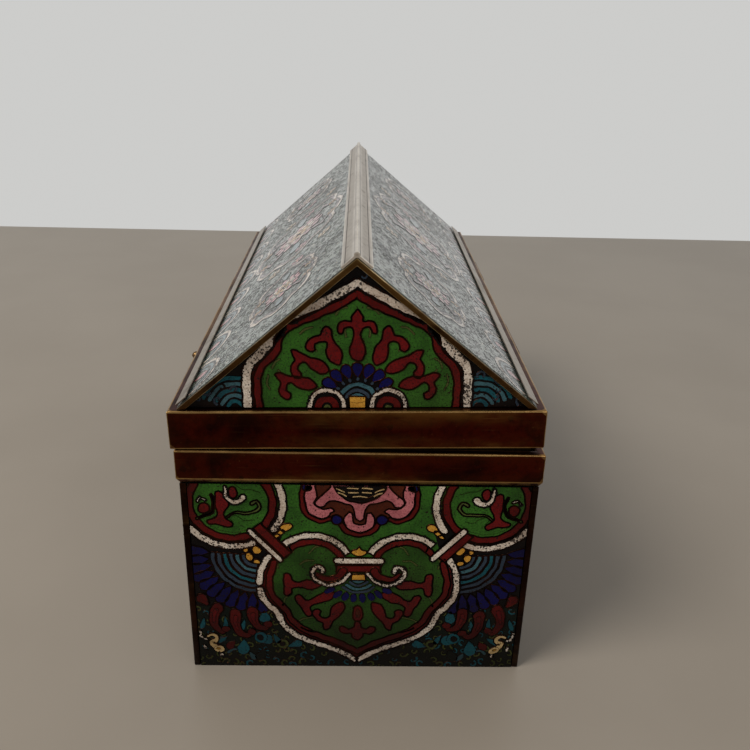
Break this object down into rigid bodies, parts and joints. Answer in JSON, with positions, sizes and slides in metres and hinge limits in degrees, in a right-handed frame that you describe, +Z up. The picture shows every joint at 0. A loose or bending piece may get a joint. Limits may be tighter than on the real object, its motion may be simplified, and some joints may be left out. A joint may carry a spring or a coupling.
{
  "type": "cloisonne enamel box",
  "caption": "Oblong enamelled bronze casket with a hollow gable-roofed lid that swings up on hinges along one long side and locks on the other.",
  "frame": {"origin": "centre of the box's underside, where it stands", "axes": "+Z up; +Y along the ridge, with the end that the picture shows at -Y; +X across, with the hinges at +X and the lock plates at -X"},
  "size_m": [0.13, 0.24, 0.1555],
  "materials": {
    "aged_bronze": "dark red-brown patina, rubbed to gold-brown on the arrises",
    "worn_brass": "dull aged brass, smooth and finely scratched",
    "end_enamel": "pitted, polished cloisonne enamel on bronze: green ground with white, red, blue and pink figures",
    "wall_enamel": "pitted, polished cloisonne enamel on bronze: teal wire-scroll ground with red and white figures",
    "roof_enamel": "glossy cloisonne enamel on bronze, a dense grey-green ground of small wire scrolls"
  },
  "bodies": {
    "base": {"base_plate": "aged_bronze", "end_panel_front": "end_enamel", "end_panel_back": "end_enamel", "side_panel_left": "wall_enamel", "side_panel_right": "wall_enamel", "corner_post_front_left": "aged_bronze", "corner_post_front_right": "aged_bronze", "corner_post_back_left": "aged_bronze", "corner_post_back_right": "aged_bronze", "base_rim_band": "aged_bronze", "inner_lip": "worn_brass", "hinge_base_leaf_front": "aged_bronze", "hinge_base_leaf_back": "aged_bronze", "hinge_pin_front": "worn_brass", "hinge_pin_back": "worn_brass", "lock_plate_base": "worn_brass"},
    "lid": {"lid_rim_band": "aged_bronze", "gable_panel_front": "end_enamel", "gable_panel_back": "end_enamel", "rake_border_front": "worn_brass", "rake_border_back": "worn_brass", "roof_panel_left": "roof_enamel", "roof_panel_right": "roof_enamel", "eave_strip_left": "worn_brass", "eave_strip_right": "worn_brass", "ridge_cap": "worn_brass", "lock_plate_lid": "worn_brass", "side_stud": "worn_brass", "hinge_lid_leaf_front": "aged_bronze", "hinge_lid_leaf_back": "aged_bronze"}
  },
  "joints": [
    {"name": "lid_hinge", "type": "hinge", "parent": "base", "child": "lid", "pos_m": [0.0619, 0, 0.09105], "axis": [0, 1, 0], "range_deg": [0, 110]}
  ]
}
